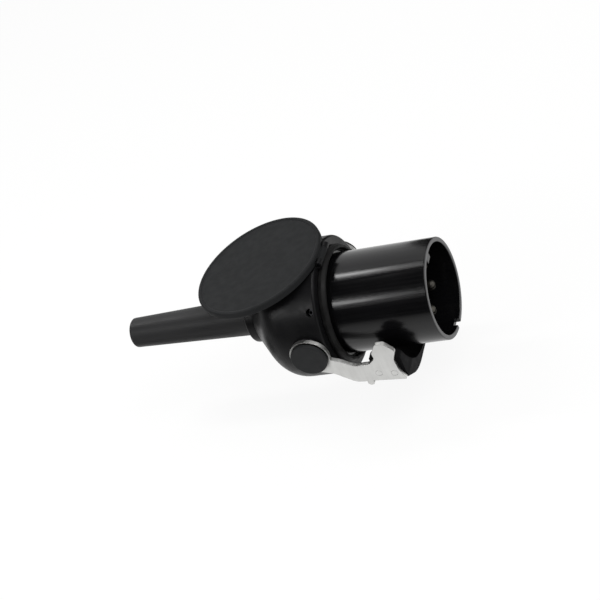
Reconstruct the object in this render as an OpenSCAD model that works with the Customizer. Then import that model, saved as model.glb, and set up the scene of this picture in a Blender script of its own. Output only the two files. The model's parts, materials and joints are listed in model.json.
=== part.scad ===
// Seven-pin trailer plug with a pivoting side-plate latch and a hinged round cover.
// The plug axis lies along X and the open mouth of the barrel faces +X. The cover is on top, at +Z.
// The origin is the centre of the flange plane, where the barrel leaves the housing.
// Millimetres throughout. "Near" is the -Y side and "far" is the +Y side.

/* [Barrel] */
// Outside diameter of the barrel tube
barrel_od = 46; // [43:0.5:49]
// Wall of the barrel tube
barrel_wall = 2.2; // [1.8:0.1:2.6]
// Length of the barrel ahead of the flange plane
barrel_len = 48; // [42:1:60]
// Length of the thicker barrel root inside the housing
root_len = 14; // [13:0.5:17]
// How much the root stands proud of the tube, all round
root_step = 1; // [0.6:0.1:1.4]
// Width of the inner key rib and of the keyway in the rim
key_w = 4.5; // [3:0.5:6]
// Height of the inner key rib
key_h = 4; // [3:0.1:4.6]
// Length of the keyway, back from the mouth
keyway_len = 2.2; // [1.6:0.2:4]

/* [Contacts] */
// Diameter of each contact pin
pin_d = 5; // [4:0.1:5.6]
// Diameter of the circle of six pins round the centre one
pin_circle = 24; // [22:0.5:27]
// Depth of the pin tips behind the mouth
pin_recess = 8; // [4:0.5:12]
// Length of pin that stands out of the contact block
pin_reach = 23; // [16:0.5:26]
// Width of the spring slot across each pin tip
pin_slot = 0.8; // [0.5:0.1:1.2]
// Diameter of the screw terminal behind each pin
terminal_d = 6.4; // [6:0.1:7.4]
// Length of the screw terminal behind the retainer
terminal_len = 8; // [7:0.5:11]
// Diameter of the wire hole in each terminal
wire_d = 4; // [3:0.1:4.6]
// Thickness of the contact retainer plate
retainer_t = 3; // [2:0.5:4]

/* [Housing] */
// Length of the housing's band, to where its rear cone would meet it
band_len = 26.4; // [25:0.2:28]
// Radius that joins the band to the rear cone
shoulder_round = 15.5; // [10:0.5:17]
// Diameter of the housing where its rear cone ends
neck_od = 26.8; // [26:0.2:29]
// Radial width of the rubber lip round the barrel
lip_w = 3; // [2.6:0.1:3.4]
// Height of the rubber lip ahead of the flange plane
lip_h = 2.5; // [1.8:0.1:3.2]
// Diameter of the radial grub screws that hold the barrel
grub_d = 3.2; // [2.6:0.1:3.6]
// Angle of the grub screws above and below each side
grub_angle = 36; // [30:1:45]

/* [Cable gland] */
// Diameter of the gland nut's collar
nut_od = 25; // [24:0.5:28]
// Visible length of the gland nut's collar
nut_len = 5; // [4:0.5:7]
// Bore of the cable boot
cable_bore = 12; // [10.6:0.1:12.6]
// Diameter of the boot where it leaves the gland nut
boot_root_d = 18; // [17:0.1:18.6]
// Diameter of the boot at its tip
boot_tip_d = 14.3; // [14.2:0.1:16.6]
// Length of the boot outside the gland nut
boot_len = 64; // [40:0.5:80]

/* [Cover] */
// Diameter of the round cover
cover_d = 63; // [57:0.5:67]
// Thickness of the cover plate
cover_t = 3; // [2.4:0.1:3.8]
// Downward slope of the folded cover, towards the cable
cover_tilt = 6.3; // [4.5:0.1:9]
// Height of the bead round the cover's upper face
cover_bead = 0.4; // [0.2:0.1:0.8]
// Diameter of the hinge pin
hinge_pin_d = 1.8; // [1.4:0.1:2]
// Diameter of the hinge knuckle and ears
knuckle_d = 3.4; // [3.2:0.1:4]
// Width of the cover's knuckle
knuckle_w = 8; // [6:0.5:10]
// Width of each hinge ear on the housing
ear_w = 3; // [2.4:0.1:3.6]

/* [Latch] */
// Thickness of the steel side plates
plate_t = 2; // [1.6:0.1:3]
// Distance of the latch pivot behind the flange plane
pivot_back = 9.5; // [9:0.5:12]
// Diameter of the eye of each side plate
eye_d = 18.2; // [17.6:0.1:19.4]
// Diameter of the housing trunnion in the eye
trunnion_d = 10; // [8:0.5:11]
// Diameter of the pivot cap
cap_d = 16.8; // [15:0.1:17.4]
// Thickness of the pivot cap
cap_t = 1.8; // [1.4:0.1:3]
// Distance of the hook's back face ahead of the flange plane
hook_back = 19; // [17:0.5:21]
// Width of the hook, along the plug
hook_w = 10.4; // [9:0.2:12]
// Length of the handle, along the plug
handle_len = 19.5; // [16:0.5:21]
// Thickness of the handle under the barrel
handle_t = 2.5; // [2:0.1:3.2]
// Radial space round the barrel for the shell of the mating socket
collar_gap = 5.9; // [5.4:0.1:6.8]
// Diameter of the rivets that hold the side plates to the handle
rivet_d = 3; // [2.4:0.1:3.6]

/* [Hidden] */
$fn = 96;

// Clearances
slip = 0.1;        // radial, between pieces that are pushed together
running = 0.05;    // radial, between a hinge shaft and its hole
side_gap = 0.3;    // between faces that move past each other
seat_gap = 0.35;   // between the folded cover and its seat
cut = 1;           // how far a cutting shape runs past the face that it cuts

// Barrel
barrel_r = barrel_od / 2;
bore_r = barrel_r - barrel_wall;
root_r = barrel_r + root_step;
rim_round = 0.5;
key_inset = 1;

// Ring seal in the barrel root
root_wall = root_step + barrel_wall;
ring_r = 0.28 * root_wall;             // radius of the ring's own section
ring_x = -0.82 * root_len;
groove_r = root_r - 1.95 * ring_r;     // the ring stands a little proud of its groove
groove_w = 2.9 * ring_r;

// Contacts, from the pin tips back
pin_tip_x = barrel_len - pin_recess;
block_face_x = pin_tip_x - pin_reach;
block_flange_t = 3;
block_back_x = -root_len - block_flange_t;
step_x = block_back_x - retainer_t;     // the housing step that the retainer rests on
contact_collar_d = terminal_d + 0.8;
contact_collar_t = 1.8;
terminal_end_x = step_x - terminal_len;
pin_slot_len = 0.55 * pin_reach;
terminal_screw_d = 2.8;
retainer_screw_d = 3;
retainer_screw_len = 10;
retainer_head_r = 0.9 * retainer_screw_d;
retainer_head_t = 1.8;
screw_slot_w = 0.7;
screw_slot_depth = 1;

// Housing, from the flange back to the neck
base_t = 1;                             // thickness of the gasket's base
band_r = barrel_r + collar_gap + handle_t;   // band and handle rest at one level
band_front_x = -base_t;
cone_x = band_front_x - band_len;       // where the band and the rear cone would meet
bore_housing_r = root_r + slip;
chamber_r = root_r - 3;
retainer_screw_r = chamber_r - 3.5;     // distance of the retainer screws from the axis
chamber_back_x = terminal_end_x - 2;
lip_t = 2;                              // wall in front of the grommet
grommet_seat = 4;
nut_thread_len = 5;
neck_x = chamber_back_x - lip_t - grommet_seat - nut_thread_len;
neck_r = neck_od / 2;
grub_x = -4;
grub_r = grub_d / 2;
grub_sunk = 1.5;
grub_wall = 0.7;                        // barrel wall left under a grub screw
hex_r = 0.5 * grub_r;
hex_depth = 1.6;

// Cable gland
boot_bore_r = cable_bore / 2;
nut_thread_r = 10.8;
nut_wall = 0.95;                        // wall of the threaded sleeve
nut_end_x = neck_x - nut_len;
seal_r = nut_thread_r - nut_wall;       // radius of the space that holds washer and grommet
sleeve_end_x = neck_x + nut_thread_len - 0.5;
boot_flange_x = neck_x + 1.5;
boot_flange_t = 2;
washer_t = 1;
washer_x = boot_flange_x + boot_flange_t;
grommet_x = washer_x + washer_t;
grommet_end_x = chamber_back_x - lip_t;
boot_root_x = nut_end_x - 0.5;
boot_end_x = boot_root_x - boot_len;
passage_r = boot_bore_r + 0.7;

// Hinge and cover. The cover is drawn in the frame of its hinge: u forward, w up.
cover_r = cover_d / 2;
knuckle_r = knuckle_d / 2;
knuckle_in = knuckle_r - 0.3;           // height at which a web runs into the knuckle or an ear
hinge_clear = 0.4;                      // round the ears and the knuckle
lip_r = root_r + slip + lip_w;          // outside of the rubber lip
hinge_x = 0.4;                          // the axis is under the cover's front edge
hinge_z = lip_r + hinge_clear + knuckle_r;
cover_low_w = 0.5;                      // lower face of the cover above the hinge axis
cover_top_w = cover_low_w + cover_t;
seat_w = cover_low_w - seat_gap;
cover_recess = 0.8;                     // depth of the hollow in the cover's lower face
cover_rim = 5;                          // width of the thicker rim round that hollow
pocket_len = 4.5;                       // of the housing's pocket for the knuckle
ear_y0 = knuckle_w / 2 + side_gap;
ear_y1 = ear_y0 + ear_w;
hinge_pin_y = ear_y1 - 0.3;             // the pin's ends are sunk in the ears

// Latch
pivot_x = -pivot_back;
boss_y = band_r + 0.15;                 // outer face of the side bosses
plate_in_y = boss_y + side_gap;
plate_out_y = plate_in_y + plate_t;
trunnion_y = plate_out_y + side_gap;
cap_y = trunnion_y + cap_t;
eye_r = eye_d / 2;
trunnion_r = trunnion_d / 2;
boss_r = min(eye_r, pivot_back - base_t) - 0.3;   // clear of the band's front edge
cap_shank_d = 5;
cap_shank_len = 5.5;
hook_front = hook_back + hook_w;
hook_top = 2.2;
arm_top = -8.9;                         // upper edge of the arm
arm_low = -18.6;                        // lower edge of the arm at its deepest
toe_x = hook_front + 0.6;
toe_z = -19.8;
handle_in_r = barrel_r + collar_gap;
handle_front = toe_x;
handle_back = handle_front - handle_len;
handle_flat_y = 17;                     // half width of the handle's flat underside
pad_top = -6;
pad_back = hook_back - 3.2;
wing_z = toe_z - 0.4;                   // lower outer corner of each side of the handle
handle_lean = 2;                        // how far the front edge leans back on the way down
rivet_spots = [[18.4, -14.4], [25.4, -15.4]];
rivet_in = 3.2;                         // depth of the rivets in the handle
nub_x = 12.8;
nub_r = 1.6;

housing_black = "#1b1b1c";
gloss_black = "#0d0d0e";
soft_grey = "#343536";
rubber_black = "#202021";
steel = "#c9c9c7";
brass = "#c8a456";
seal_brown = "#4a3b32";
block_grey = "#2a2b2d";

// Turns the Z axis of what is drawn onto the plug's X axis
module along_x() {
    rotate([0, 90, 0]) children();
}

// Revolves a drawing of [radius, x] about the plug's axis
module turned() {
    along_x() rotate_extrude() children();
}

// Plain cylinder about the plug's axis, from x0 to x1
module rod_x(x0, x1, r) {
    translate([x0, 0, 0]) along_x() cylinder(h = x1 - x0, r = r);
}

// Extrudes a drawing of [x, z] sideways, from y0 to y1
module sideways(y0, y1) {
    translate([0, y1, 0]) rotate([90, 0, 0]) linear_extrude(y1 - y0) children();
}

// Carries what is drawn in the hinge frame to its place on the folded cover
module at_hinge() {
    translate([hinge_x, 0, hinge_z]) rotate([0, -cover_tilt, 0]) children();
}

// Copies what is drawn on the near side to the far side
module both_sides() {
    children();
    mirror([0, 1, 0]) children();
}

// The fillet at corner b of the path a, b, c, as n + 1 points on an arc of radius r
function fillet(a, b, c, r, n) =
    let (
        ba = (a - b) / norm(a - b),
        bc = (c - b) / norm(c - b),
        half = acos(ba * bc) / 2,
        reach = r / tan(half),
        centre = b + (ba + bc) / norm(ba + bc) * (r / sin(half)),
        start = b + ba * reach - centre,
        finish = b + bc * reach - centre,
        side = start[0] * finish[1] - start[1] * finish[0] > 0 ? 1 : -1,
        sweep = side * (180 - 2 * half)
    )
    [for (i = [0 : n])
        let (t = sweep * i / n)
        centre + [start[0] * cos(t) - start[1] * sin(t), start[0] * sin(t) + start[1] * cos(t)]
    ];

// An outline from corners [x, y, radius], with a true tangent fillet at each corner
function rounded(corners, n = 6) =
    let (count = len(corners))
    [for (i = [0 : count - 1])
        let (
            before = corners[(i + count - 1) % count],
            here = corners[i],
            after = corners[(i + 1) % count],
            b = [here[0], here[1]]
        )
        each (here[2] == 0
            ? [b]
            : fillet([before[0], before[1]], b, [after[0], after[1]], here[2], n))
    ];

// Place of contact number i in the [y, z] plane: number 7 is the centre one
function contact_spot(i) =
    i == 7 ? [0, 0] : pin_circle / 2 * [cos(60 * i + 30), sin(60 * i + 30)];

// Outer form of the housing: a band, a round shoulder, and a cone down to the neck
module housing_profile() {
    edge = 1.2;
    polygon(rounded([
        [0, neck_x, 0],
        [neck_r, neck_x, 0.5],
        [band_r, cone_x, shoulder_round],
        [band_r, band_front_x, edge],
        [0, band_front_x, 0]
    ], 10));
}

// Stepped space inside the housing, from the barrel's root to the gland
module housing_space() {
    rod_x(step_x, band_front_x + cut, bore_housing_r);
    rod_x(chamber_back_x, step_x + cut, chamber_r);
    rod_x(grommet_end_x - cut, chamber_back_x + cut, passage_r);
    rod_x(grommet_end_x - grommet_seat - cut, grommet_end_x, seal_r);
    rod_x(neck_x - cut, neck_x + nut_thread_len, nut_thread_r + slip);
}

// Side bosses and trunnions that carry the latch
module trunnions() {
    both_sides() translate([pivot_x, 0, 0]) rotate([90, 0, 0]) {
        translate([0, 0, band_r - 5]) cylinder(h = boss_y - band_r + 5, r = boss_r);
        translate([0, 0, band_r - 5]) cylinder(h = trunnion_y - band_r + 5, r = trunnion_r);
    }
}

// Ears that carry the hinge pin, each on a web out of the band's front
module hinge_ears() {
    web_back = -5;
    both_sides() at_hinge() sideways(-ear_y1, -ear_y0) difference() {
        union() {
            circle(r = knuckle_r);
            polygon([
                [web_back, seat_w - 0.1],
                [0, seat_w - 0.1],
                [0, -knuckle_in],
                [web_back, -knuckle_in]
            ]);
        }
        circle(d = hinge_pin_d + 2 * running);
    }
}

// Cylinder at each grub screw's place, on a radius from r0 to r1
module at_grub_screws(r0, r1, r) {
    for (side = [0, 180], tilt = [-grub_angle, grub_angle])
        translate([grub_x, 0, 0]) rotate([side + tilt + 90, 0, 0])
            translate([0, 0, r0]) cylinder(h = r1 - r0, r = r, $fn = 32);
}

module housing() color(housing_black) {
    difference() {
        union() {
            difference() {
                turned() housing_profile();
                at_hinge() translate([-cover_d * 1.5, -cover_r, seat_w])
                    cube([cover_d * 1.5 + 3, cover_d, cover_d]);
            }
            trunnions();
        }
        housing_space();
        // pocket for the cover's knuckle
        translate([band_front_x - pocket_len, -ear_y0, hinge_z - knuckle_r - hinge_clear])
            cube([pocket_len + cut, 2 * ear_y0, knuckle_d]);
        at_grub_screws(bore_housing_r - cut, band_r + cut, grub_r + slip);
        both_sides() translate([pivot_x, 0, 0]) rotate([90, 0, 0])
            translate([0, 0, trunnion_y - cap_shank_len - 0.5])
                cylinder(h = cap_shank_len + cut, d = cap_shank_d + 2 * slip);
    }
    hinge_ears();
}

module barrel() color(gloss_black) difference() {
    union() {
        turned() difference() {
            polygon(rounded([
                [bore_r, -root_len, 0],
                [root_r, -root_len, 0],
                [root_r, 0, 0],
                [barrel_r, 0, 0],
                [barrel_r, barrel_len, rim_round],
                [bore_r, barrel_len, rim_round]
            ], 4));
            translate([groove_r, ring_x - groove_w / 2]) square([root_wall, groove_w]);
        }
        // key rib along the top of the bore
        translate([block_face_x + 1, -key_w / 2, bore_r - key_h])
            cube([barrel_len - key_inset - block_face_x - 1, key_w, key_h + barrel_wall / 2]);
    }
    // keyway through the rim, opposite the key rib
    translate([barrel_len - keyway_len, -key_w / 2, -barrel_r - cut])
        cube([keyway_len + cut, key_w, barrel_wall + 2 * cut]);
    at_grub_screws(bore_r + grub_wall, root_r + cut, grub_r + slip);
}

module flange_gasket() color(rubber_black) turned() {
    inner = root_r + slip;
    base_top = 0.6;
    crest_w = 1.2;
    polygon(rounded([
        [inner, band_front_x, 0],
        [lip_r - 0.3, band_front_x, 0],
        [lip_r, -0.4, 0.4],
        [lip_r, lip_h - 1.6, 0.8],
        [lip_r - 1, lip_h, 0.8],
        [lip_r - 1 - crest_w, lip_h, 0.6],
        [inner + 0.3, base_top, 0.3],
        [inner, base_top, 0]
    ], 4));
}

module barrel_o_ring() color(seal_brown) turned()
    translate([groove_r + ring_r + 0.02, ring_x]) circle(r = ring_r, $fn = 40);

module housing_screws() color("#3a3a3c") difference() {
    at_grub_screws(bore_r + grub_wall + 0.1, band_r - grub_sunk, grub_r);
    for (side = [0, 180], tilt = [-grub_angle, grub_angle])
        translate([grub_x, 0, 0]) rotate([side + tilt + 90, 0, 0])
            translate([0, 0, band_r - grub_sunk - hex_depth])
                cylinder(h = hex_depth + cut, r = hex_r, $fn = 6);
}

module contact_block() color(block_grey) difference() {
    union() {
        rod_x(-root_len, block_face_x, bore_r - slip);
        rod_x(block_back_x, -root_len, root_r);
    }
    for (i = [1 : 7]) translate([0, contact_spot(i)[0], contact_spot(i)[1]]) {
        rod_x(block_back_x - cut, block_face_x + cut, pin_d / 2 + slip);
        rod_x(block_back_x - cut, block_back_x + contact_collar_t, contact_collar_d / 2 + slip);
    }
    for (side = [-1, 1]) translate([0, side * retainer_screw_r, 0])
        rod_x(block_back_x - cut, block_back_x + retainer_screw_len - retainer_t + 1,
            retainer_screw_d / 2 + running);
}

// One turned contact: slotted pin, collar and screw terminal
module contact(i) color(brass) translate([0, contact_spot(i)[0], contact_spot(i)[1]]) {
    pin_r = pin_d / 2;
    nose = pin_r * 0.8;
    outward = i == 7 ? 90 : 60 * i + 30;
    difference() {
        turned() polygon(rounded([
            [0, terminal_end_x, 0],
            [terminal_d / 2, terminal_end_x, 0.4],
            [terminal_d / 2, block_back_x, 0],
            [contact_collar_d / 2, block_back_x, 0],
            [contact_collar_d / 2, block_back_x + contact_collar_t, 0],
            [pin_r, block_back_x + contact_collar_t, 0],
            [pin_r, pin_tip_x, nose],
            [0, pin_tip_x, 0]
        ]));
        rod_x(terminal_end_x - cut, terminal_end_x + terminal_len - 1.5, wire_d / 2);
        translate([pin_tip_x - pin_slot_len, -pin_r - cut, -pin_slot / 2])
            cube([pin_slot_len + cut, pin_d + 2 * cut, pin_slot]);
        translate([(terminal_end_x + step_x) / 2, 0, 0]) rotate([outward - 90, 0, 0])
            cylinder(h = terminal_d, d = terminal_screw_d + 2 * running, $fn = 32);
    }
}

module contact_1() contact(1);
module contact_2() contact(2);
module contact_3() contact(3);
module contact_4() contact(4);
module contact_5() contact(5);
module contact_6() contact(6);
module contact_7() contact(7);

// Slotted grub screws that clamp the wires, one in each terminal
module terminal_screws() color(steel)
    for (i = [1 : 7]) {
        outward = i == 7 ? 90 : 60 * i + 30;
        translate([(terminal_end_x + step_x) / 2, contact_spot(i)[0], contact_spot(i)[1]])
            rotate([outward - 90, 0, 0]) translate([0, 0, wire_d / 2 - 0.4]) difference() {
                cylinder(h = 2.4, d = terminal_screw_d, $fn = 32);
                translate([-3, -0.3, 1.7]) cube([6, 0.6, 1]);
            }
    }

module contact_retainer() color(block_grey) difference() {
    rod_x(step_x, block_back_x, root_r);
    for (i = [1 : 7]) translate([0, contact_spot(i)[0], contact_spot(i)[1]])
        rod_x(step_x - cut, block_back_x + cut, terminal_d / 2 + slip);
    for (side = [-1, 1]) translate([0, side * retainer_screw_r, 0])
        rod_x(step_x - cut, block_back_x + cut, retainer_screw_d / 2 + slip);
}

module retainer_screws() color(steel)
    for (side = [-1, 1]) translate([0, side * retainer_screw_r, 0]) difference() {
        union() {
            rod_x(step_x, step_x + retainer_screw_len, retainer_screw_d / 2);
            rod_x(step_x - retainer_head_t, step_x, retainer_head_r);
        }
        translate([step_x - retainer_head_t - cut, -screw_slot_w / 2, -retainer_head_r - cut])
            cube([screw_slot_depth + cut, screw_slot_w, 2 * (retainer_head_r + cut)]);
    }

module gland_nut() color(housing_black) turned() polygon(rounded([
    [boot_root_d / 2 + 0.15, nut_end_x, 0.3],
    [nut_od / 2, nut_end_x, 1.2],
    [nut_od / 2, neck_x, 0.6],
    [nut_thread_r, neck_x, 0],
    [nut_thread_r, sleeve_end_x, 0.3],
    [seal_r, sleeve_end_x, 0],
    [seal_r, boot_flange_x, 0],
    [boot_root_d / 2 + 0.15, boot_flange_x, 0]
], 4));

module gland_washer() color(steel) difference() {
    rod_x(washer_x, washer_x + washer_t, seal_r - slip);
    rod_x(washer_x - cut, washer_x + washer_t + cut, boot_bore_r + 0.5);
}

module cable_grommet() color(rubber_black) turned() polygon(rounded([
    [boot_bore_r - 0.3, grommet_x, 0.4],
    [seal_r - slip, grommet_x, 0],
    [seal_r - slip, grommet_end_x, 0.8],
    [boot_bore_r - 0.3, grommet_end_x, 0.4]
], 4));

module cable_boot() color(soft_grey) turned() polygon(rounded([
    [boot_bore_r, boot_end_x, 0],
    [boot_tip_d / 2, boot_end_x, 0.8],
    [boot_root_d / 2, boot_root_x, 0],
    [boot_root_d / 2, boot_flange_x, 0],
    [seal_r - slip, boot_flange_x, 0],
    [seal_r - slip, boot_flange_x + boot_flange_t, 0],
    [boot_bore_r + 0.25, boot_flange_x + boot_flange_t, 0],
    [boot_bore_r + 0.25, boot_root_x, 0],
    [boot_bore_r, boot_root_x, 0]
], 5));

// Round cover plate, in the hinge frame, with a bead round its upper face
module cover_plate() {
    edge = 0.9;
    bead_w = 1.6;
    recess_r = cover_r - cover_rim;
    translate([-cover_r, 0, 0]) rotate_extrude($fn = 144) polygon(rounded([
        [0, cover_low_w + cover_recess, 0],
        [recess_r, cover_low_w + cover_recess, 0],
        [recess_r + cover_recess, cover_low_w, 0],
        [cover_r, cover_low_w, edge],
        [cover_r, cover_top_w + cover_bead, edge],
        [cover_r - bead_w, cover_top_w + cover_bead, 0.2],
        [cover_r - bead_w - 0.5, cover_top_w, 0],
        [0, cover_top_w, 0]
    ], 4));
}

module cover() color(soft_grey) difference() {
    union() {
        difference() {
            at_hinge() cover_plate();
            // room for the ears as the cover swings round them
            both_sides() translate([hinge_x, -ear_y0 + side_gap, hinge_z]) rotate([90, 0, 0])
                cylinder(h = ear_w + 2 * side_gap, r = knuckle_r + hinge_clear);
        }
        // knuckle, on a web that runs up into the plate
        at_hinge() sideways(-knuckle_w / 2, knuckle_w / 2) {
            circle(r = knuckle_r);
            polygon([
                [0, -knuckle_in],
                [0, knuckle_in],
                [-cover_rim, cover_low_w + 1.4],
                [-cover_rim, cover_low_w + cover_recess + 0.2]
            ]);
        }
    }
    at_hinge() sideways(-knuckle_w, knuckle_w) circle(d = hinge_pin_d + 2 * running);
}

module hinge_pin() color(steel)
    translate([hinge_x, hinge_pin_y, hinge_z]) rotate([90, 0, 0])
        cylinder(h = 2 * hinge_pin_y, d = hinge_pin_d, $fn = 48);

// Side plate as stamped: eye, dropped arm, and a hook that stands up at the front
module plate_outline() {
    root_in_r = eye_r - 0.6;    // the arm starts a little inside the eye
    difference() {
        union() {
            translate([pivot_x, 0]) circle(r = eye_r);
            polygon(rounded([
                [pivot_x, 0, 0],
                [pivot_x - root_in_r * sin(25), -root_in_r * cos(25), 0],
                [-2, -11.4, 8],
                [6.5, arm_low + 0.4, 8],
                [16, arm_low, 0],
                [toe_x, toe_z, 0.5],
                [hook_front - 1.6, -14, 8],
                [hook_front - 1.8, -8, 4],
                [hook_front + 0.6, -2.8, 2.2],
                [hook_front - 3.4, hook_top, 2.2],
                [hook_back + 3.2, hook_top, 1.4],
                [hook_back, -2.6, 2],
                [hook_back + 0.3, -5.8, 2],
                [hook_back - 3.2, arm_top + 0.4, 2],
                [8.5, arm_top + 0.2, 6],
                [3, -4.8, 6],
                [pivot_x + root_in_r * cos(20), -root_in_r * sin(20), 0]
            ]));
            translate([nub_x, arm_low - 0.7]) circle(r = nub_r);
        }
        translate([pivot_x, 0]) circle(r = trunnion_r + running);
        for (spot = rivet_spots) translate(spot) circle(d = rivet_d + 2 * running, $fn = 32);
    }
}

module latch_plate_near() color(steel) sideways(-plate_out_y, -plate_in_y) plate_outline();

module latch_plate_far() color(steel) sideways(plate_in_y, plate_out_y) plate_outline();

// Moulded handle: a cradle under the barrel, with a pad against each side plate
module latch_handle() color(housing_black) difference() {
    intersection() {
        translate([handle_back - cut, 0, 0]) rotate([90, 0, 90])
            linear_extrude(handle_len + 2 * cut) difference() {
                polygon(rounded([
                    [-handle_flat_y, -band_r, 24],
                    [handle_flat_y, -band_r, 24],
                    [plate_in_y, wing_z, 0.8],
                    [plate_in_y, 0, 0],
                    [-plate_in_y, 0, 0],
                    [-plate_in_y, wing_z, 0.8]
                ]));
                circle(r = handle_in_r, $fn = 180);
            }
        sideways(-plate_in_y - cut, plate_in_y + cut) polygon(rounded([
            [handle_back, -band_r - cut, 0],
            [handle_front - handle_lean, -band_r - cut, 0],
            [handle_front, toe_z, 5],
            [handle_front, pad_top, 3],
            [pad_back, pad_top, 1.5],
            [pad_back, toe_z + 2, 2],
            [handle_back, toe_z - 4, 2]
        ]));
    }
    for (spot = rivet_spots) both_sides()
        translate([spot[0], -plate_in_y + rivet_in, spot[1]]) rotate([90, 0, 0])
            cylinder(h = rivet_in + cut, d = rivet_d + 2 * running, $fn = 32);
}

module latch_rivets() color(steel)
    for (spot = rivet_spots) both_sides()
        translate([spot[0], -plate_in_y + rivet_in - 0.2, spot[1]]) rotate([90, 0, 0])
            cylinder(h = rivet_in - 0.2 + plate_t, d = rivet_d, $fn = 32);

// Pivot cap: a flat head outside the side plate, on a shank in the trunnion
module pivot_cap() {
    rotate([90, 0, 0]) rotate_extrude() polygon(rounded([
        [0, trunnion_y - cap_shank_len, 0],
        [cap_shank_d / 2, trunnion_y - cap_shank_len, 0.4],
        [cap_shank_d / 2, trunnion_y, 0],
        [cap_d / 2, trunnion_y, 0.2],
        [cap_d / 2, cap_y, 0.7],
        [0, cap_y, 0]
    ], 4));
}

module pivot_cap_near() color(soft_grey) translate([pivot_x, 0, 0]) pivot_cap();

module pivot_cap_far() color(soft_grey) translate([pivot_x, 0, 0]) mirror([0, 1, 0]) pivot_cap();

housing();
barrel();
flange_gasket();
barrel_o_ring();
housing_screws();
contact_block();
contact_1();
contact_2();
contact_3();
contact_4();
contact_5();
contact_6();
contact_7();
terminal_screws();
contact_retainer();
retainer_screws();
gland_nut();
gland_washer();
cable_grommet();
cable_boot();
cover();
hinge_pin();
latch_plate_near();
latch_plate_far();
latch_handle();
latch_rivets();
pivot_cap_near();
pivot_cap_far();
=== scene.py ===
"""Finishes and stage for the seven-pin trailer plug, laid out as an add-on and run as a script."""

import json
import math

import bpy
import bmesh
from mathutils import Matrix, Vector


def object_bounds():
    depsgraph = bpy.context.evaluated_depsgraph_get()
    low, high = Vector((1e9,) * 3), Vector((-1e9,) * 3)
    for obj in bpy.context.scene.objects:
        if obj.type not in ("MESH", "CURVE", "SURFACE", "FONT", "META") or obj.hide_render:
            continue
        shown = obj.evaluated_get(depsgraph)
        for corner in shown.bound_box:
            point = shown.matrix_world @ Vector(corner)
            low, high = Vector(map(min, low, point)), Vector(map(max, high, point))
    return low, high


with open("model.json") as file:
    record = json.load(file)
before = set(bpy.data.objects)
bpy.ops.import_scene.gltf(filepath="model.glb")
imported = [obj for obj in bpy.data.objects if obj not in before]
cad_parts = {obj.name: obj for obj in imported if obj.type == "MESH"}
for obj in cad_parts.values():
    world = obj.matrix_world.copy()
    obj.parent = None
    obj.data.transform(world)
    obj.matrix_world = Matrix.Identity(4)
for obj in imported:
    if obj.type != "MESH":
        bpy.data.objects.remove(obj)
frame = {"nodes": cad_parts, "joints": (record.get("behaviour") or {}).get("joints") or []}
CAD_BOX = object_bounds()

bl_info = {
    "name": "Trailer plug finishes",
    "version": (1, 0, 0),
    "blender": (4, 5, 0),
    "location": "3D View > Sidebar > Plug",
    "description": "Gives the packed trailer plug its materials, stage and lights",
    "category": "Material",
}

MM = 0.001

# The photograph's camera, round the plug's origin: angles in degrees, lengths in metres
VIEW_AZIMUTH = 30.96
VIEW_ELEVATION = 35.66
VIEW_ROLL = -27.69
VIEW_DISTANCE = 0.7
AIM_RIGHT = -0.0203
AIM_UP = 0.0011
LENS_MM = 92.55
SENSOR_MM = 36.0

# The sweep, in metres: how far it runs each way, and how far it lies below the open latch
SWEEP_REACH = 6.0
SWEEP_CLEARANCE = 0.0005

# The black flag, in metres. It starts beside the plug, runs out, rises and comes back overhead,
# with a panel at its end. Only reflections see it
FLAG_HALF_WIDTH = 2.2
FLAG_END = 1.0
FLAG_NEAR = 0.06
FLAG_FEATHER = 0.2
FLAG_FEATHER_HEIGHT = 0.05
FLAG_FAR = 1.3
FLAG_TOP = 1.5
FLAG_CHAMFER = 0.7
FLAG_BACK = 0.55
FLAG_LIFT = 0.004

# Two black cards, in metres, also for reflections: one lies beside the boot, and one stands
# behind the barrel
CARD_LIFT = 0.002
BOOT_CARD_X = (-0.17, -0.07)
BOOT_CARD_Y = (-0.04, -0.015)
BACK_CARD_X = (-0.015, 0.14)
BACK_CARD_Y = 0.15
BACK_CARD_TOP = 0.17

# Soft boxes: name, direction from the plug, distance, sides in metres, power in watts
SOFT_BOXES = (
    ("strip_behind", (-0.52, 0.19, 0.83), 0.75, (0.34, 0.09), 1.65),
    ("strip_front", (-0.54, -0.64, 0.54), 0.75, (0.34, 0.09), 1.35),
    ("key_above", (0.5, -0.15, 0.85), 1.1, (0.7, 0.7), 6.0),
)

# Share of plain white in the paper to the eye, and the strength of the surround on matt surfaces
PAPER_WHITE_SHARE = 0.9
SKY_FILL = 0.45

# Specular level and roughness of the two nylons, and specular level of the two polypropylenes
SHELL_GLOSS, SHELL_ROUGHNESS = 0.13, 0.32
HANDLE_GLOSS, HANDLE_ROUGHNESS = 0.02, 0.5
COVER_GLOSS = 0.14
CAP_GLOSS = 0.24

# Where the barrel's rim, grey partly from scuffing and partly as a painted highlight, starts and
# where it is whole, in millimetres behind the mouth
RIM_START_MM = 0.35
RIM_WHOLE_MM = 0.1
RIM_ROUGHNESS = 0.35

# Cosine between a face and its broken edge: where the edge starts, and where it is whole
EDGE_START = 0.999
EDGE_WHOLE = 0.86

# Openness of a corner where the painted shade is whole, and where it ends. Then the reach of the
# painted shade on the plates and caps, and how far it goes to its own dark colour
NOOK_WHOLE = 0.45
NOOK_END = 0.92
PLATE_SHADE_MM, PLATE_SHADE = 2.5, 0.92
CAP_SHADE_MM, CAP_SHADE = 1.5, 0.9

# Colours that come with wear, the painted shade in corners, and the stage
NYLON_EDGE = "#202021"
POLYPROPYLENE_EDGE = "#4c4d4e"
STEEL_EDGE = "#e2e2e0"
# Dark colour of the painted shade in corners
NOOK_SHADE = "#1c1b19"
PAPER_SHADE, PAPER_LIGHT = "#f4f4f3", "#fbfbfa"
VELVET_SHADE, VELVET_LIGHT = "#0c0c0c", "#161616"

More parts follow.
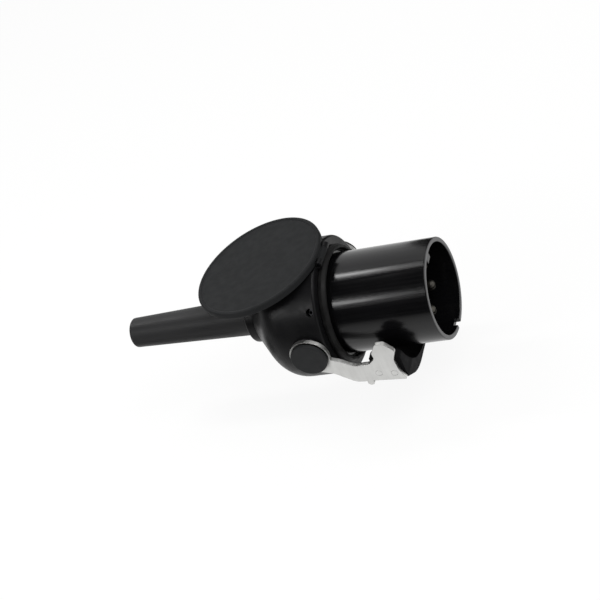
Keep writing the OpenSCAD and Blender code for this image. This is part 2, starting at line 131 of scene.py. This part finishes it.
# Names of the plug's own pieces, in groups that share a finish
SHELL_NODES = ("housing", "gland_nut")
RUBBER_NODES = ("flange_gasket", "cable_grommet")
CAP_NODES = ("pivot_cap_near", "pivot_cap_far")
PLATE_NODES = ("latch_plate_near", "latch_plate_far", "latch_rivets")
CONTACT_NODES = tuple(f"contact_{i}" for i in range(1, 8))
INSERT_NODES = ("contact_block", "contact_retainer")
PLATED_NODES = ("terminal_screws", "retainer_screws", "gland_washer")
BLACKED_NODES = ("housing_screws", "hinge_pin")


def linear(hex_colour):
    """The linear red, green and blue of an sRGB colour such as #c9c9c7."""
    channels = [int(hex_colour[i : i + 2], 16) / 255 for i in (1, 3, 5)]
    return tuple(c / 12.92 if c <= 0.04045 else ((c + 0.055) / 1.055) ** 2.4 for c in channels)


def opaque(colour):
    """A colour for a socket. Three numbers get an alpha of one, and an output stays as it is."""
    return colour if isinstance(colour, bpy.types.NodeSocket) else (*colour[:3], 1.0)


def lighter(colour, times):
    """A colour with each channel multiplied, darker where times is below one."""
    return [channel * times for channel in colour]


def per_size(size_mm):
    """Texture scale that draws features about size_mm across, in object coordinates in metres."""
    return 1 / (size_mm * MM)


def add(tree, kind, settings=None, inputs=None):
    """Adds a node with its settings. An input is given a value, or an output to link."""
    node = tree.nodes.new(kind)
    for name, value in (settings or {}).items():
        setattr(node, name, value)
    for name, value in (inputs or {}).items():
        if isinstance(value, bpy.types.NodeSocket):
            tree.links.new(value, node.inputs[name])
        else:
            node.inputs[name].default_value = value
    return node


def new_material(name):
    """A material with an empty node tree and its output node."""
    material = bpy.data.materials.new(name)
    material.use_nodes = True
    material.node_tree.nodes.clear()
    return material, material.node_tree, add(material.node_tree, "ShaderNodeOutputMaterial")


def along_axis(tree, axis):
    """Distance along one of the piece's own axes, in metres."""
    place = add(tree, "ShaderNodeTexCoord").outputs["Object"]
    return add(tree, "ShaderNodeSeparateXYZ", inputs={0: place}).outputs[axis]


def stretched(tree, stretch):
    """Object coordinates, squeezed along each axis. A pattern runs long where stretch is small."""
    place = add(tree, "ShaderNodeTexCoord").outputs["Object"]
    return add(
        tree, "ShaderNodeMapping", inputs={"Vector": place, "Scale": stretch}
    ).outputs["Vector"]


def noise(tree, size_mm, detail=2.0, stretch=(1, 1, 1)):
    """Noise whose features are about size_mm across."""
    return add(
        tree,
        "ShaderNodeTexNoise",
        inputs={"Vector": stretched(tree, stretch), "Scale": per_size(size_mm), "Detail": detail},
    ).outputs["Fac"]


def spread(tree, value, low, high, start=0.35, end=0.65):
    """Maps a value from start to end onto low to high."""
    return add(
        tree,
        "ShaderNodeMapRange",
        inputs={"Value": value, "From Min": start, "From Max": end, "To Min": low, "To Max": high},
    ).outputs["Result"]


def tint(tree, share, first, second):
    """A colour between two, by a share from 0 to 1."""
    return add(
        tree,
        "ShaderNodeMix",
        {"data_type": "RGBA"},
        {0: share, 6: opaque(first), 7: opaque(second)},
    ).outputs[2]


def relief(tree, height, depth_mm, normal):
    """Bump of a real depth over a normal."""
    return add(
        tree,
        "ShaderNodeBump",
        inputs={"Height": height, "Strength": 1.0, "Distance": depth_mm * MM, "Normal": normal},
    ).outputs["Normal"]


def broken_edge(tree, radius_mm):
    """Normals of edges that are broken to a small radius."""
    return add(
        tree, "ShaderNodeBevel", {"samples": 6}, {"Radius": radius_mm * MM}
    ).outputs["Normal"]


def edge_share(tree, broken):
    """1 on the broken edges and 0 on the faces between them."""
    face = add(tree, "ShaderNodeNewGeometry").outputs["Normal"]
    alike = add(
        tree, "ShaderNodeVectorMath", {"operation": "DOT_PRODUCT"}, {0: face, 1: broken}
    ).outputs["Value"]
    return spread(tree, alike, 1.0, 0.0, EDGE_WHOLE, EDGE_START)


def worn_edges(tree, colour, bare, broken, share):
    """A colour that goes a share of the way to a bare one on the broken edges."""
    return tint(tree, spread(tree, edge_share(tree, broken), 0, share, 0, 1), colour, linear(bare))


def shade_painted_in_nooks(tree, colour, normal, reach_mm, share):
    """A colour that goes dark with painted shade in corners, within reach_mm of the next surface.
    """
    # Painted shade: the darker the corner by ambient occlusion, the nearer the colour goes to the
    # dark shade colour
    openness = add(
        tree,
        "ShaderNodeAmbientOcclusion",
        {"samples": 8},
        {"Distance": reach_mm * MM, "Normal": normal},
    ).outputs["AO"]
    return tint(tree, spread(tree, openness, share, 0, NOOK_WHOLE, NOOK_END), colour, linear(NOOK_SHADE))


def seen_or_mirrored(tree):
    """1 for rays of the camera, reflections and glass, and 0 for those that only light."""
    rays = add(tree, "ShaderNodeLightPath").outputs
    either = add(
        tree,
        "ShaderNodeMath",
        {"operation": "MAXIMUM"},
        {0: rays["Is Camera Ray"], 1: rays["Is Glossy Ray"]},
    ).outputs["Value"]
    return add(
        tree,
        "ShaderNodeMath",
        {"operation": "MAXIMUM"},
        {0: either, 1: rays["Is Transmission Ray"]},
    ).outputs["Value"]


def finish_surface(tree, output, colour, roughness, normal, **sockets):
    """The shader of a surface. Further sockets have underscores for the spaces in their names."""
    values = {"Base Color": colour, "Roughness": roughness, "Normal": normal}
    values.update({name.replace("_", " "): value for name, value in sockets.items()})
    shader = add(tree, "ShaderNodeBsdfPrincipled", inputs=values)
    tree.links.new(shader.outputs["BSDF"], output.inputs["Surface"])


def dress(nodes, material):
    """Gives CAD nodes a material."""
    for name in nodes:
        mesh = frame["nodes"][name].data
        mesh.materials.clear()
        mesh.materials.append(material)


def glass_filled_nylon(name, gloss, roughness, colours, surfaces):
    """Injection-moulded nylon with glass fibre: satin black, with a fine spark-eroded grain."""
    material, tree, output = new_material(name)
    cloud = noise(tree, size_mm=14, detail=3)
    grain = noise(tree, surfaces.shell_grain / MM)
    broken = broken_edge(tree, radius_mm=0.2)
    body = tint(tree, spread(tree, cloud, 0, 1), colours.shell, lighter(colours.shell, 1.35))
    finish_surface(
        tree,
        output,
        worn_edges(tree, body, NYLON_EDGE, broken, share=0.35),
        spread(tree, noise(tree, size_mm=5, detail=4), low=roughness, high=roughness + 0.12),
        relief(tree, grain, depth_mm=0.008, normal=broken),
        IOR=1.53,
        Specular_IOR_Level=gloss,
    )
    return material


def gloss_phenolic(colours, surfaces):
    """Compression-moulded black phenolic off a polished mould: deep gloss and faint draw lines."""
    material, tree, output = new_material("phenolic_gloss_moulded")
    lines = noise(tree, surfaces.draw_line / MM, detail=3, stretch=(0.03, 1, 1))
    waves = noise(tree, size_mm=16, detail=1)
    broken = broken_edge(tree, radius_mm=0.3)
    rough = spread(tree, lines, low=0.15, high=0.25)
    drawn = relief(tree, lines, depth_mm=0.002, normal=broken)
    shaped = relief(tree, waves, depth_mm=0.03, normal=drawn)
    cloud = noise(tree, size_mm=20)
    body = tint(tree, spread(tree, cloud, 0, 1), colours.barrel, lighter(colours.barrel, 1.5))
    mouth = CAD_BOX[1].x
    start, end = mouth - RIM_START_MM * MM, mouth - RIM_WHOLE_MM * MM
    # The rim turns grey: partly scuffing, partly a painted highlight on its edge
    at_rim = spread(tree, along_axis(tree, "X"), 0, 1, start, end)
    rim_scuff_and_highlight = tint(tree, at_rim, body, colours.rim)
    duller = add(
        tree, "ShaderNodeMix", {"data_type": "FLOAT"}, {0: at_rim, 2: rough, 3: RIM_ROUGHNESS}
    ).outputs[0]
    finish_surface(tree, output, rim_scuff_and_highlight, duller, shaped, IOR=1.5, Specular_IOR_Level=0.34)
    return material


def moulded_rubber(name, colour, grain_mm):
    """Compression-moulded rubber: dull, with a soft mottle and a faint bloom."""
    material, tree, output = new_material(name)
    bloom = noise(tree, size_mm=3, detail=4)
    body = tint(tree, spread(tree, bloom, 0, 1), colour, lighter(colour, 1.7))
    grain = noise(tree, grain_mm)
    normal = relief(tree, grain, depth_mm=0.015, normal=broken_edge(tree, radius_mm=0.25))
    rough = spread(tree, bloom, low=0.5, high=0.68)
    finish_surface(tree, output, body, rough, normal, IOR=1.52, Specular_IOR_Level=0.18)
    return material


def soft_pvc(colours, surfaces):
    """Injection-moulded soft PVC: matte dark grey, cloudy along its length, with a fine grain."""
    material, tree, output = new_material("soft_pvc_moulded")
    cloud = noise(tree, size_mm=9, detail=4, stretch=(0.35, 1, 1))
    body = tint(tree, spread(tree, cloud, 0, 1), colours.boot, lighter(colours.boot, 1.4))
    grain = noise(tree, surfaces.boot_grain / MM)
    rings = noise(tree, size_mm=2.2, detail=1, stretch=(1, 0.02, 0.02))
    grained = relief(tree, grain, depth_mm=0.012, normal=broken_edge(tree, radius_mm=0.5))
    normal = relief(tree, rings, depth_mm=0.02, normal=grained)
    rough = spread(tree, cloud, low=0.46, high=0.6)
    finish_surface(tree, output, body, rough, normal, IOR=1.53, Specular_IOR_Level=0.27)
    return material


def grained_polypropylene(name, colour, gloss, nook_shade, surfaces):
    """Injection-moulded polypropylene off an etched mould: matte grey with a leathery grain."""
    material, tree, output = new_material(name)
    cloud = noise(tree, size_mm=22, detail=3)
    cells = add(
        tree,
        "ShaderNodeTexVoronoi",
        {"feature": "SMOOTH_F1"},
        {
            "Vector": stretched(tree, (1, 1, 1)),
            "Scale": per_size(surfaces.cover_grain / MM),
            "Smoothness": 0.6,
        },
    ).outputs["Distance"]
    broken = broken_edge(tree, radius_mm=0.3)
    body = tint(tree, spread(tree, cloud, 0, 1), colour, lighter(colour, 1.1))
    rubbed = worn_edges(tree, body, POLYPROPYLENE_EDGE, broken, share=0.4)
    finish_surface(
        tree,
        output,
        # Painted shade: darker in corners, within reach of the next surface
        shade_painted_in_nooks(tree, rubbed, broken, CAP_SHADE_MM, nook_shade),
        spread(tree, noise(tree, size_mm=4, detail=3), low=0.6, high=0.68),
        relief(tree, cells, depth_mm=0.01, normal=broken),
        IOR=1.5,
        Specular_IOR_Level=gloss,
    )
    return material


def satin_nickel_steel(colours, surfaces):
    """Stamped steel strip with satin nickel plate: pale and soft, with rolling lines across it."""
    material, tree, output = new_material("steel_stamped_satin_nickel")
    rolled = noise(tree, surfaces.rolling_line / MM, detail=4, stretch=(1, 1, 0.04))
    cloud = noise(tree, size_mm=7, detail=3)
    broken = broken_edge(tree, radius_mm=0.3)
    plate = tint(tree, spread(tree, cloud, 0, 1), lighter(colours.latch, 0.93), colours.latch)
    rubbed = worn_edges(tree, plate, STEEL_EDGE, broken, share=0.5)
    finish_surface(
        tree,
        output,
        # Painted shade: darker in corners, such as round the caps and rivets
        shade_painted_in_nooks(tree, rubbed, broken, PLATE_SHADE_MM, PLATE_SHADE),
        spread(tree, rolled, low=0.36, high=0.48),
        relief(tree, rolled, depth_mm=0.002, normal=broken),
        Metallic=1.0,
    )
    return material


def plated_metal(name, colour, line_mm, roughness):
    """Turned metal with a thin plate: fine rings from the tool, and a slight cloud in it."""
    material, tree, output = new_material(name)
    turned = noise(tree, line_mm, stretch=(1, 0.05, 0.05))
    cloud = noise(tree, size_mm=2.5, detail=3)
    body = tint(tree, spread(tree, cloud, 0, 1), lighter(colour, 0.86), colour)
    rough = spread(tree, cloud, low=roughness - 0.05, high=roughness + 0.08)
    normal = relief(tree, turned, depth_mm=0.002, normal=broken_edge(tree, radius_mm=0.12))
    finish_surface(tree, output, body, rough, normal, Metallic=1.0)
    return material


def insulator_plastic(colours):
    """Moulded insulating thermoset: near black, dull, with the faint flow marks of its filler."""
    material, tree, output = new_material("thermoset_insulator_moulded")
    flow = noise(tree, size_mm=3, detail=5)
    body = tint(tree, spread(tree, flow, 0, 1), colours.insert, lighter(colours.insert, 1.8))
    grain = noise(tree, size_mm=0.5)
    normal = relief(tree, grain, depth_mm=0.01, normal=broken_edge(tree, radius_mm=0.25))
    rough = spread(tree, flow, low=0.42, high=0.6)
    finish_surface(tree, output, body, rough, normal, IOR=1.55)
    return material


def white_sweep():
    """Matt white photographic paper. It shows as white, and still takes the plug's soft shadow."""
    material, tree, output = new_material("paper_sweep_matt_white")
    seen = seen_or_mirrored(tree)
    fibre = noise(tree, size_mm=1.2, detail=4)
    paper = add(
        tree,
        "ShaderNodeBsdfPrincipled",
        inputs={
            "Base Color": tint(tree, fibre, linear(PAPER_SHADE), linear(PAPER_LIGHT)),
            "Roughness": 0.9,
            "Specular IOR Level": 0.1,
        },
    ).outputs["BSDF"]
    white = add(
        tree, "ShaderNodeEmission", inputs={"Color": (1, 1, 1, 1), "Strength": 1.0}
    ).outputs["Emission"]
    share = add(
        tree, "ShaderNodeMath", {"operation": "MULTIPLY"}, {0: seen, 1: PAPER_WHITE_SHARE}
    ).outputs["Value"]
    mixed = add(tree, "ShaderNodeMixShader", inputs={0: share, 1: paper, 2: white})
    tree.links.new(mixed.outputs["Shader"], output.inputs["Surface"])
    return material


def black_velvet(name, feathered):
    """Black velvet for a studio flag. A feathered one thins out to nothing near the plug."""
    material, tree, output = new_material(name)
    pile = noise(tree, size_mm=3)
    velvet = add(
        tree,
        "ShaderNodeBsdfPrincipled",
        inputs={
            "Base Color": tint(tree, pile, linear(VELVET_SHADE), linear(VELVET_LIGHT)),
            "Roughness": 0.95,
            "Specular IOR Level": 0.05,
        },
    ).outputs["BSDF"]
    if not feathered:
        tree.links.new(velvet, output.inputs["Surface"])
        return material
    thin = spread(tree, along_axis(tree, "Y"), 0, 1, -FLAG_NEAR - FLAG_FEATHER, -FLAG_NEAR)
    low = spread(tree, along_axis(tree, "Z"), 1, 0, 0, FLAG_FEATHER_HEIGHT)
    share = add(
        tree, "ShaderNodeMath", {"operation": "MULTIPLY"}, {0: thin, 1: low}
    ).outputs["Value"]
    clear = add(tree, "ShaderNodeBsdfTransparent").outputs["BSDF"]
    mixed = add(tree, "ShaderNodeMixShader", inputs={0: share, 1: velvet, 2: clear})
    tree.links.new(mixed.outputs["Shader"], output.inputs["Surface"])
    return material


def sheet_along_x(name, profile, half_width, material, middle=0.0):
    """A sheet drawn as a [y, z] profile and stretched along X, each way from its middle."""
    mesh = bpy.data.meshes.new(name)
    build = bmesh.new()
    ends = (middle - half_width, middle + half_width)
    rows = [[build.verts.new((x, y, z)) for y, z in profile] for x in ends]
    for i in range(len(profile) - 1):
        build.faces.new((rows[0][i], rows[0][i + 1], rows[1][i + 1], rows[1][i]))
    build.to_mesh(mesh)
    build.free()
    mesh.materials.append(material)
    sheet = bpy.data.objects.new(name, mesh)
    bpy.context.scene.collection.objects.link(sheet)
    return sheet


def end_panel(name, x, profile, material):
    """A flat panel across X, whose outline is a [y, z] profile."""
    mesh = bpy.data.meshes.new(name)
    mesh.from_pydata([(x, y, z) for y, z in profile], [], [tuple(range(len(profile)))])
    mesh.materials.append(material)
    panel = bpy.data.objects.new(name, mesh)
    bpy.context.scene.collection.objects.link(panel)
    return panel


def only_reflected(thing):
    """Leaves a thing to glossy rays alone: the eye, matt surfaces and shadows miss it."""
    thing.visible_camera = False
    thing.visible_diffuse = False
    thing.visible_transmission = False
    thing.visible_shadow = False


def soft_box(name, direction, distance, size, power):
    """An area lamp in a direction from the plug, with its first side along the plug's axis."""
    back = Vector(direction).normalized()
    lamp = bpy.data.lights.new(name, "AREA")
    lamp.shape = "RECTANGLE"
    lamp.size, lamp.size_y = size
    lamp.energy = power
    holder = bpy.data.objects.new(name, lamp)
    along = (Vector((1, 0, 0)) - back * back.x).normalized()
    across = back.cross(along)
    turn = Matrix((along, across, back)).transposed().to_4x4()
    holder.matrix_world = Matrix.Translation(back * distance) @ turn
    bpy.context.scene.collection.objects.link(holder)


def photograph_camera():
    """The camera at the photograph's place, with its roll."""
    azimuth, elevation, roll = (math.radians(a) for a in (VIEW_AZIMUTH, VIEW_ELEVATION, VIEW_ROLL))
    back = Vector(
        (
            math.sin(azimuth) * math.cos(elevation),
            -math.cos(azimuth) * math.cos(elevation),
            math.sin(elevation),
        )
    )
    level = Vector((math.cos(azimuth), math.sin(azimuth), 0))
    rise = back.cross(level)
    right = level * math.cos(roll) + rise * math.sin(roll)
    up = back.cross(right)
    lens = bpy.data.cameras.new("photograph_camera")
    lens.lens = LENS_MM
    lens.sensor_width = SENSOR_MM
    lens.clip_start, lens.clip_end = 0.01, 50
    camera = bpy.data.objects.new("photograph_camera", lens)
    turn = Matrix((right, up, back)).transposed().to_4x4()
    place = back * VIEW_DISTANCE + right * AIM_RIGHT + up * AIM_UP
    camera.matrix_world = Matrix.Translation(place) @ turn
    bpy.context.scene.collection.objects.link(camera)
    bpy.context.scene.camera = camera


def open_latch_bottom():
    """The height of the lowest corner that the latch reaches at its joint's limit."""
    hinge = next(joint for joint in frame["joints"] if joint["child"] == "latch")
    pivot = Vector(hinge["pos_m"])
    opened = Matrix.Rotation(math.radians(max(hinge["range_deg"])), 3, Vector(hinge["axis"]))
    lowest = CAD_BOX[0].z
    for name in ("latch_handle", *PLATE_NODES):
        piece = frame["nodes"][name]
        places = (piece.matrix_world @ corner.co for corner in piece.data.vertices)
        lowest = min(lowest, *((opened @ (place - pivot) + pivot).z for place in places))
    return lowest


def sky(fill):
    """A white surround to the eye and in reflections, and a softer fill on matt surfaces."""
    world = bpy.data.worlds.new("studio_surround")
    world.use_nodes = True
    tree = world.node_tree
    tree.nodes.clear()
    strength = spread(tree, seen_or_mirrored(tree), fill, 1.0, 0, 1)
    background = add(
        tree, "ShaderNodeBackground", inputs={"Color": (1, 1, 1, 1), "Strength": strength}
    )
    output = add(tree, "ShaderNodeOutputWorld")
    tree.links.new(background.outputs["Background"], output.inputs["Surface"])
    bpy.context.scene.world = world


class PlugColours(bpy.types.PropertyGroup):
    """Colours of the plug's finishes."""

    shell: bpy.props.FloatVectorProperty(
        name="Housing", description="Black nylon of the housing, nut and handle",
        subtype="COLOR", min=0, max=1, default=linear("#101011"),
    )
    barrel: bpy.props.FloatVectorProperty(
        name="Barrel", description="Gloss black of the barrel",
        subtype="COLOR", min=0, max=1, default=linear("#070708"),
    )
    # The rim's grey is partly scuffing and partly a painted highlight on the rim's edge
    rim: bpy.props.FloatVectorProperty(
        name="Rim", description="Scuffed face of the barrel's rim",
        subtype="COLOR", min=0, max=1, default=linear("#49494a"),
    )
    rubber: bpy.props.FloatVectorProperty(
        name="Gasket", description="Rubber of the flange gasket and grommet",
        subtype="COLOR", min=0, max=1, default=linear("#101010"),
    )
    seal: bpy.props.FloatVectorProperty(
        name="Ring seal", description="Brown rubber of the ring seal",
        subtype="COLOR", min=0, max=1, default=linear("#47352a"),
    )
    boot: bpy.props.FloatVectorProperty(
        name="Boot", description="Soft grey-black of the cable boot",
        subtype="COLOR", min=0, max=1, default=linear("#1c1c1d"),
    )
    cover: bpy.props.FloatVectorProperty(
        name="Cover", description="Matte dark grey of the cover",
        subtype="COLOR", min=0, max=1, default=linear("#1b1c1d"),
    )
    caps: bpy.props.FloatVectorProperty(
        name="Pivot caps", description="Matte dark grey of the pivot caps",
        subtype="COLOR", min=0, max=1, default=linear("#1e1f20"),
    )
    latch: bpy.props.FloatVectorProperty(
        name="Latch plates", description="Satin nickel of the side plates and rivets",
        subtype="COLOR", min=0, max=1, default=linear("#d6d6d4"),
    )
    # This dark grey is partly the pins' dull plate and partly painted shade for their place deep in
    # the barrel
    contacts: bpy.props.FloatVectorProperty(
        name="Contacts", description="Dull nickel plate on the contact pins",
        subtype="COLOR", min=0, max=1, default=linear("#55534e"),
    )
    insert: bpy.props.FloatVectorProperty(
        name="Insert", description="Dark insulator that holds the contacts",
        subtype="COLOR", min=0, max=1, default=linear("#101011"),
    )
    screws: bpy.props.FloatVectorProperty(
        name="Screws", description="Zinc plate on the small steel parts",
        subtype="COLOR", min=0, max=1, default=linear("#c2c4c6"),
    )
    dark_screws: bpy.props.FloatVectorProperty(
        name="Grub screws", description="Black oxide on the grub screws and hinge pin",
        subtype="COLOR", min=0, max=1, default=linear("#2c2c2e"),
    )


class PlugSurfaces(bpy.types.PropertyGroup):
    """Sizes of the surface grain."""

    shell_grain: bpy.props.FloatProperty(
        name="Housing grain", description="Width of the spark-eroded grain, coarse enough to show",
        unit="LENGTH", default=0.0006, min=0.0002, max=0.003, precision=5,
    )
    cover_grain: bpy.props.FloatProperty(
        name="Cover grain", description="Width of a cell of the cover's etched grain",
        unit="LENGTH", default=0.0008, min=0.0002, max=0.003, precision=5,
    )
    boot_grain: bpy.props.FloatProperty(
        name="Boot grain", description="Width of the boot's grain",
        unit="LENGTH", default=0.0009, min=0.0002, max=0.003, precision=5,
    )
    draw_line: bpy.props.FloatProperty(
        name="Draw lines", description="Spacing of the faint lines along the barrel",
        unit="LENGTH", default=0.0012, min=0.0002, max=0.004, precision=5,
    )
    rolling_line: bpy.props.FloatProperty(
        name="Rolling lines", description="Spacing of the rolling lines on the latch plates",
        unit="LENGTH", default=0.0009, min=0.0002, max=0.004, precision=5,
    )


class PLUG_OT_shell(bpy.types.Operator):
    """Give the housing and gland nut their moulded nylon, and the latch handle a duller one"""

    bl_idname = "plug.shell"
    bl_label = "Housing, nut and handle"

    def execute(self, context):
        colours, surfaces = context.scene.plug_colours, context.scene.plug_surfaces
        shell = glass_filled_nylon(
            "glass_filled_nylon_shell", SHELL_GLOSS, SHELL_ROUGHNESS, colours, surfaces
        )
        handle = glass_filled_nylon(
            "glass_filled_nylon_handle", HANDLE_GLOSS, HANDLE_ROUGHNESS, colours, surfaces
        )
        dress(SHELL_NODES, shell)
        dress(("latch_handle",), handle)
        return {"FINISHED"}


class PLUG_OT_barrel(bpy.types.Operator):
    """Give the barrel its gloss phenolic"""

    bl_idname = "plug.barrel"
    bl_label = "Barrel"

    def execute(self, context):
        colours, surfaces = context.scene.plug_colours, context.scene.plug_surfaces
        dress(("barrel",), gloss_phenolic(colours, surfaces))
        return {"FINISHED"}


class PLUG_OT_seals(bpy.types.Operator):
    """Give the gasket, grommet and ring seal their rubbers"""

    bl_idname = "plug.seals"
    bl_label = "Gasket and seals"

    def execute(self, context):
        colours = context.scene.plug_colours
        black = moulded_rubber("epdm_rubber_moulded", colours.rubber, grain_mm=0.7)
        brown = moulded_rubber("nitrile_rubber_moulded", colours.seal, grain_mm=0.4)
        dress(RUBBER_NODES, black)
        dress(("barrel_o_ring",), brown)
        return {"FINISHED"}


class PLUG_OT_boot(bpy.types.Operator):
    """Give the cable boot its soft PVC"""

    bl_idname = "plug.boot"
    bl_label = "Cable boot"

    def execute(self, context):
        colours, surfaces = context.scene.plug_colours, context.scene.plug_surfaces
        dress(("cable_boot",), soft_pvc(colours, surfaces))
        return {"FINISHED"}


class PLUG_OT_cover(bpy.types.Operator):
    """Give the cover and pivot caps their etched polypropylene"""

    bl_idname = "plug.cover"
    bl_label = "Cover and caps"

    def execute(self, context):
        colours, surfaces = context.scene.plug_colours, context.scene.plug_surfaces
        cover = grained_polypropylene(
            "polypropylene_etched_cover", colours.cover, COVER_GLOSS, 0, surfaces
        )
        caps = grained_polypropylene(
            # The caps take painted shade in their corners, and the cover takes none
            "polypropylene_etched_caps", colours.caps, CAP_GLOSS, CAP_SHADE, surfaces
        )
        dress(("cover",), cover)
        dress(CAP_NODES, caps)
        return {"FINISHED"}


class PLUG_OT_latch(bpy.types.Operator):
    """Give the latch plates and rivets their satin nickel"""

    bl_idname = "plug.latch"
    bl_label = "Latch plates"

    def execute(self, context):
        colours, surfaces = context.scene.plug_colours, context.scene.plug_surfaces
        dress(PLATE_NODES, satin_nickel_steel(colours, surfaces))
        return {"FINISHED"}


class PLUG_OT_contacts(bpy.types.Operator):
    """Give the contacts their nickel plate and the insert its insulator"""

    bl_idname = "plug.contacts"
    bl_label = "Contacts and insert"

    def execute(self, context):
        colours = context.scene.plug_colours
        nickel = plated_metal(
            "brass_turned_nickel_plated", colours.contacts, line_mm=0.35, roughness=0.45
        )
        dress(CONTACT_NODES, nickel)
        dress(INSERT_NODES, insulator_plastic(colours))
        return {"FINISHED"}


class PLUG_OT_screws(bpy.types.Operator):
    """Give the screws, washer and hinge pin their plating"""

    bl_idname = "plug.screws"
    bl_label = "Screws and pins"

    def execute(self, context):
        colours = context.scene.plug_colours
        zinc = plated_metal(
            "steel_turned_zinc_plated", colours.screws, line_mm=0.3, roughness=0.34
        )
        oxide = plated_metal("steel_black_oxide", colours.dark_screws, line_mm=0.3, roughness=0.4)
        dress(PLATED_NODES, zinc)
        dress(BLACKED_NODES, oxide)
        return {"FINISHED"}


class PLUG_OT_stage(bpy.types.Operator):
    """Set the white sweep, the flag and cards, the lamps and the camera"""

    bl_idname = "plug.stage"
    bl_label = "Stage and camera"

    def execute(self, context):
        photograph_camera()
        context.view_layer.update()
        sweep_z = open_latch_bottom() - SWEEP_CLEARANCE
        flat = [(-SWEEP_REACH, sweep_z), (SWEEP_REACH, sweep_z)]
        sheet_along_x("sweep", flat, SWEEP_REACH, white_sweep())
        velvet = black_velvet("velvet_flag_black", feathered=True)
        card = black_velvet("velvet_card_black", feathered=False)
        flag_z = CAD_BOX[0].z + FLAG_LIFT
        outline = [
            (-FLAG_NEAR, flag_z),
            (-FLAG_FAR, flag_z),
            (-FLAG_FAR, FLAG_TOP * FLAG_CHAMFER),
            (-FLAG_FAR * FLAG_CHAMFER, FLAG_TOP),
            (FLAG_BACK, FLAG_TOP),
        ]
        only_reflected(sheet_along_x("flag", outline, FLAG_HALF_WIDTH, velvet))
        card_z = CAD_BOX[0].z + CARD_LIFT
        cards = (
            ("card_by_boot", BOOT_CARD_X, [(y, card_z) for y in BOOT_CARD_Y]),
            ("card_behind", BACK_CARD_X, [(BACK_CARD_Y, z) for z in (card_z, BACK_CARD_TOP)]),
        )
        for name, (x0, x1), profile in cards:
            only_reflected(sheet_along_x(name, profile, (x1 - x0) / 2, card, (x0 + x1) / 2))
        closed = [*outline, (FLAG_BACK, flag_z)]
        only_reflected(end_panel("flag_end", -FLAG_END, closed, velvet))
        for settings in SOFT_BOXES:
            soft_box(*settings)
        sky(SKY_FILL)
        context.scene.view_settings.view_transform = "Standard"
        return {"FINISHED"}


class PLUG_PT_panel(bpy.types.Panel):
    """Lists the plug's finishes in the sidebar"""

    bl_idname = "PLUG_PT_panel"
    bl_label = "Trailer plug"
    bl_space_type = "VIEW_3D"
    bl_region_type = "UI"
    bl_category = "Plug"

    def draw(self, context):
        for group in (context.scene.plug_colours, context.scene.plug_surfaces):
            box = self.layout.box()
            for name in group.__annotations__:
                box.prop(group, name)
        for operator in OPERATORS:
            self.layout.operator(operator.bl_idname)


OPERATORS = (
    PLUG_OT_shell,
    PLUG_OT_barrel,
    PLUG_OT_seals,
    PLUG_OT_boot,
    PLUG_OT_cover,
    PLUG_OT_latch,
    PLUG_OT_contacts,
    PLUG_OT_screws,
    PLUG_OT_stage,
)
CLASSES = (PlugColours, PlugSurfaces, *OPERATORS, PLUG_PT_panel)


def register():
    for kind in CLASSES:
        bpy.utils.register_class(kind)
    bpy.types.Scene.plug_colours = bpy.props.PointerProperty(type=PlugColours)
    bpy.types.Scene.plug_surfaces = bpy.props.PointerProperty(type=PlugSurfaces)


def unregister():
    del bpy.types.Scene.plug_surfaces
    del bpy.types.Scene.plug_colours
    for kind in reversed(CLASSES):
        bpy.utils.unregister_class(kind)


def main():
    """Runs every operator in order."""
    register()
    for operator in OPERATORS:
        group, name = operator.bl_idname.split(".")
        getattr(getattr(bpy.ops, group), name)()


if __name__ == "__main__":
    main()
